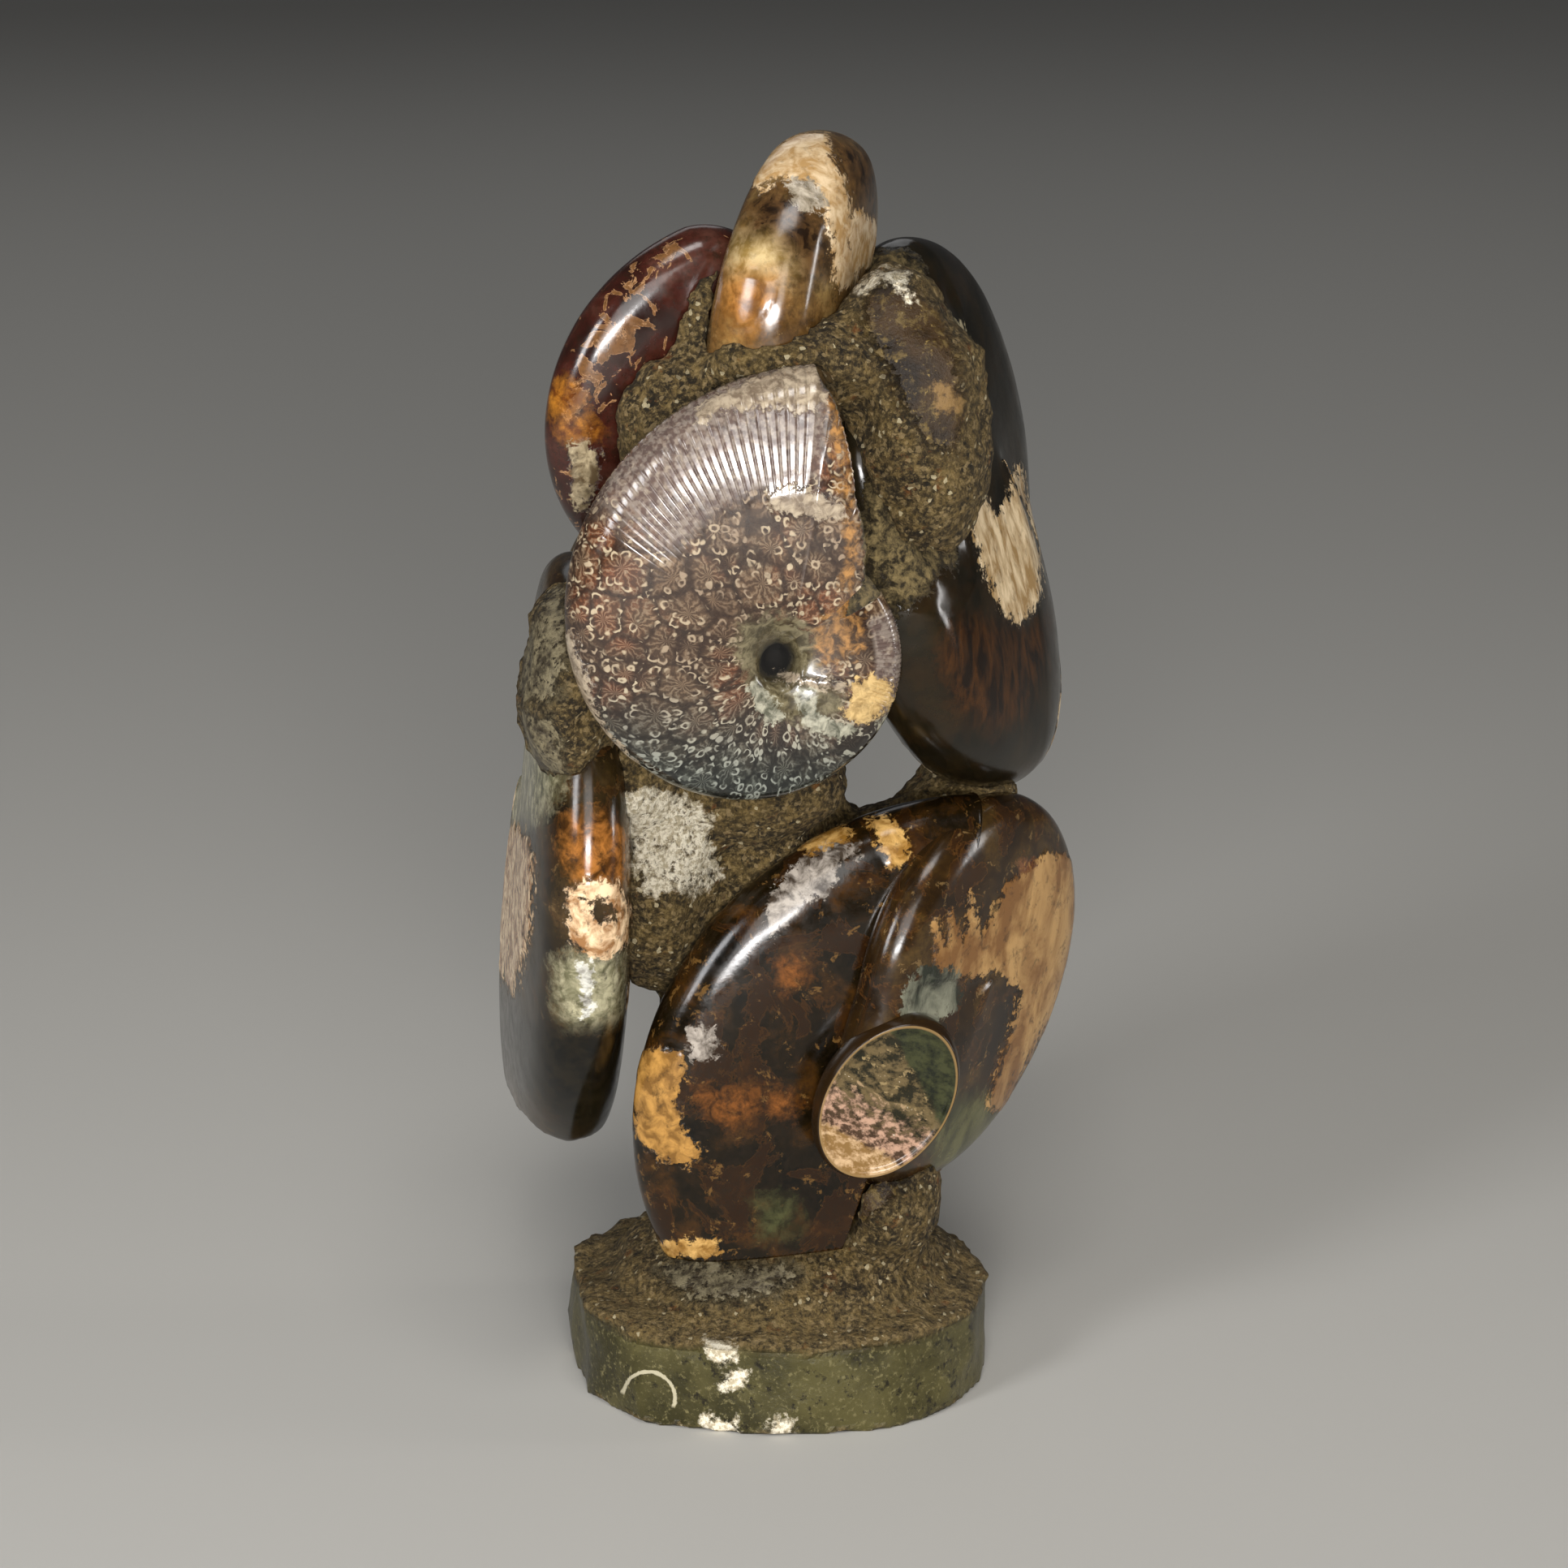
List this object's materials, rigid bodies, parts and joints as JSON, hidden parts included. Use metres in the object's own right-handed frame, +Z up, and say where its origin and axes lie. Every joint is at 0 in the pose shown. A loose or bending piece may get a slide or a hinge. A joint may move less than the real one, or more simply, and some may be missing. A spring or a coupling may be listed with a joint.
{
  "type": "cleoniceras ammonite cluster",
  "caption": "Free-standing carved cluster of polished coiled shells set in rough rock on a flat rock foot, for display.",
  "frame": {"origin": "centre of the flat underside of the foot", "axes": "+Z up, +X to the viewer's right, +Y away from the front"},
  "size_m": [0.1088, 0.0979, 0.2329],
  "materials": {
    "matrix_rock": "rough, gritty",
    "mauve_grey_shell": "polished, fine suture pattern",
    "cream_shell": "polished",
    "maroon_shell": "polished",
    "black_green_shell": "polished, partly broken",
    "tan_nacre_shell": "polished, pearly",
    "dark_amber_shell": "polished, translucent look",
    "flamed_brown_shell": "polished",
    "ground_calcite": "ground flat, polished",
    "slate_grey_shell": "polished"
  },
  "bodies": {
    "root": {"matrix": "matrix_rock", "ammonite_front": "mauve_grey_shell", "ammonite_top": "cream_shell", "ammonite_upper_left": "maroon_shell", "ammonite_right": "black_green_shell", "ammonite_left": "tan_nacre_shell", "ammonite_lower_front": "dark_amber_shell", "ammonite_lower_right": "flamed_brown_shell", "whorl_section": "ground_calcite", "ammonite_back": "slate_grey_shell"}
  },
  "joints": []
}
